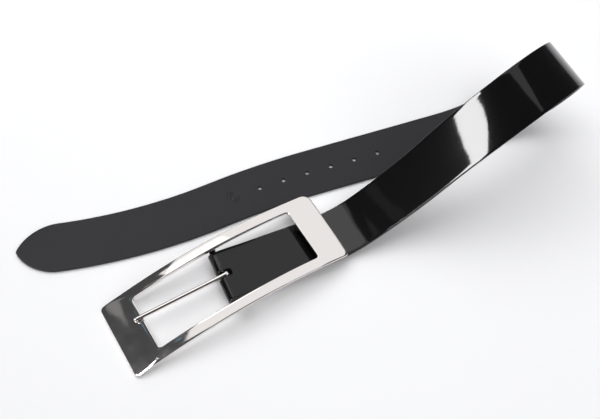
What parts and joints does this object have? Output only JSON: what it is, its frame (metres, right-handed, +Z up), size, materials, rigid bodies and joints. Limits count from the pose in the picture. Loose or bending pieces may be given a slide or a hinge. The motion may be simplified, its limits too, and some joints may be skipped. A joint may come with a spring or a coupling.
{
  "type": "belt",
  "caption": "Wide black patent leather waist belt, loosely coiled on a table, with a long arched rectangular prong buckle in polished metal",
  "frame": {"origin": "on the table under the middle of the row of punched holes, at the tail's underside", "axes": "+Z up from the table, +X along the longest extent, from the tail's tip towards the loop"},
  "size_m": [0.539, 0.309, 0.133],
  "materials": {
    "patent_leather": "gloss",
    "lining_leather": "matte",
    "polished_frame": "polished",
    "snap_metal": "satin"
  },
  "bodies": {
    "strap": {"strap_face": "patent_leather", "strap_lining": "lining_leather", "snap_cap_1": "snap_metal", "snap_socket_1": "snap_metal", "snap_stud_1": "snap_metal", "snap_post_1": "snap_metal", "snap_cap_2": "snap_metal", "snap_socket_2": "snap_metal", "snap_stud_2": "snap_metal", "snap_post_2": "snap_metal"},
    "buckle": {"buckle_frame": "polished_frame", "centre_bar": "polished_frame"},
    "prong": {"prong": "polished_frame"}
  },
  "joints": [
    {"name": "buckle_pivot", "type": "hinge", "parent": "strap", "child": "buckle", "pos_m": [-0.08547, -0.12299, 0.01184], "axis": [0.5225, -0.8526, 0], "range_deg": [0, 75]},
    {"name": "prong_pivot", "type": "hinge", "parent": "buckle", "child": "prong", "pos_m": [-0.08547, -0.12299, 0.01184], "axis": [-0.5225, 0.8526, 0], "range_deg": [0, 90]}
  ]
}
